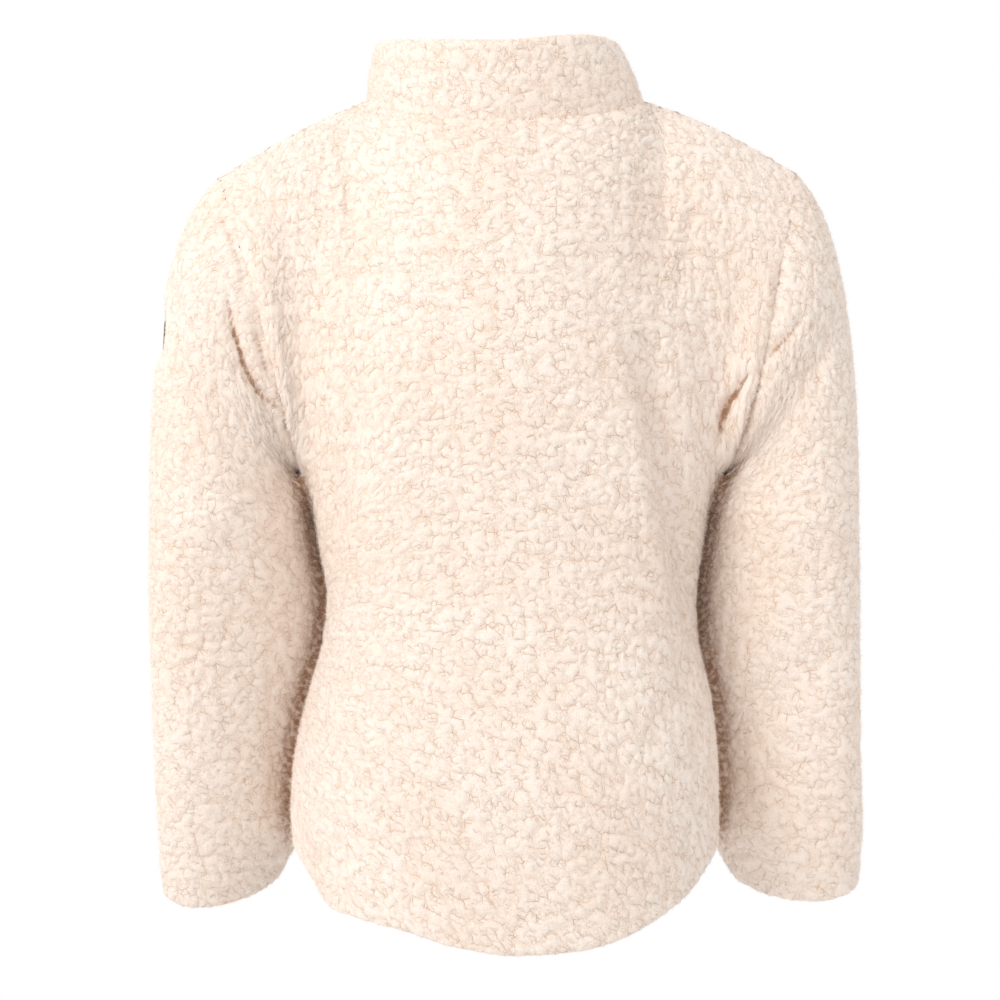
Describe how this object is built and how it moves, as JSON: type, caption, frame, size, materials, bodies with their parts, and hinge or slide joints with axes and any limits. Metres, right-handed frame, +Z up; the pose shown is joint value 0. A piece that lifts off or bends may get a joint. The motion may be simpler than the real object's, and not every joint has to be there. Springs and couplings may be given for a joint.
{
  "type": "sherpa fleece jacket",
  "caption": "Worn-shape sherpa fleece jacket with a stand collar, long set-in sleeves, a dropped back hem and a full front zip, hollow and open at neck, hem and cuffs.",
  "frame": {"origin": "middle of the neck, level with the tops of the shoulders, which carry the jacket", "axes": "+Z up, +X the wearer's left, +Y the wearer's back; the zipped front faces -Y"},
  "size_m": [0.6265, 0.2762, 0.7847],
  "materials": {
    "fleece": "long curled pile, matt",
    "zip_tape": "woven, matt",
    "zip_teeth": "satin",
    "zip_metal": "satin",
    "patch_cloth": "stitched, matt"
  },
  "bodies": {
    "jacket": {"back": "fleece", "front_left": "fleece", "front_right": "fleece", "sleeve_left": "fleece", "sleeve_right": "fleece", "collar": "fleece", "sleeve_patch": "patch_cloth", "zip_tape_left": "zip_tape", "zip_tape_right": "zip_tape", "zip_chain": "zip_teeth", "zip_slider": "zip_metal", "zip_box": "zip_metal"},
    "zip_pull": {"zip_pull": "zip_metal"}
  },
  "joints": [
    {"name": "zip_pull_hinge", "type": "hinge", "parent": "jacket", "child": "zip_pull", "pos_m": [0, -0.08916, -0.0229], "axis": [-1, 0, 0], "range_deg": [0, 145]}
  ]
}
